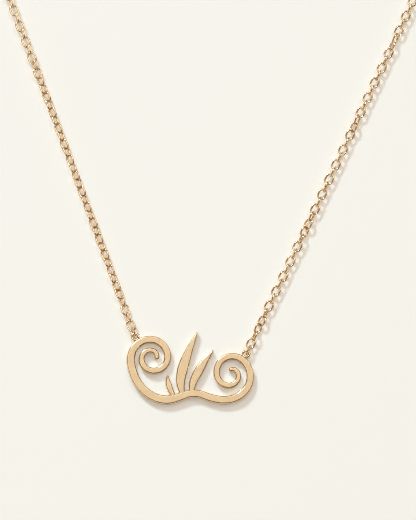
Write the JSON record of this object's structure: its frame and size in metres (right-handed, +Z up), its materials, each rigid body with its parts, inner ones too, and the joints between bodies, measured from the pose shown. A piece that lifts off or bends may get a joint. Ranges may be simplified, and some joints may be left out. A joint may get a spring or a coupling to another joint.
{
  "type": "nameplate necklace",
  "caption": "Flat scrollwork plate hung by jump rings between two lengths of fine cable chain, closed by a ring clasp and laid open.",
  "frame": {"origin": "on the flat back of the plate, near its middle, where it lies on the surface", "axes": "+Z up from the surface, out of the plate's face; +Y from the plate towards the clasp; +X to the right of the plate seen from the front"},
  "size_m": [0.099, 0.1697, 0.0023],
  "materials": {
    "gold": "polished pale gold with a satin face"
  },
  "bodies": {
    "root": {"nameplate": "gold", "jump_ring_left": "gold", "jump_ring_right": "gold", "chain_left": "gold", "chain_right": "gold", "end_ring": "gold", "clasp": "gold"}
  },
  "joints": []
}
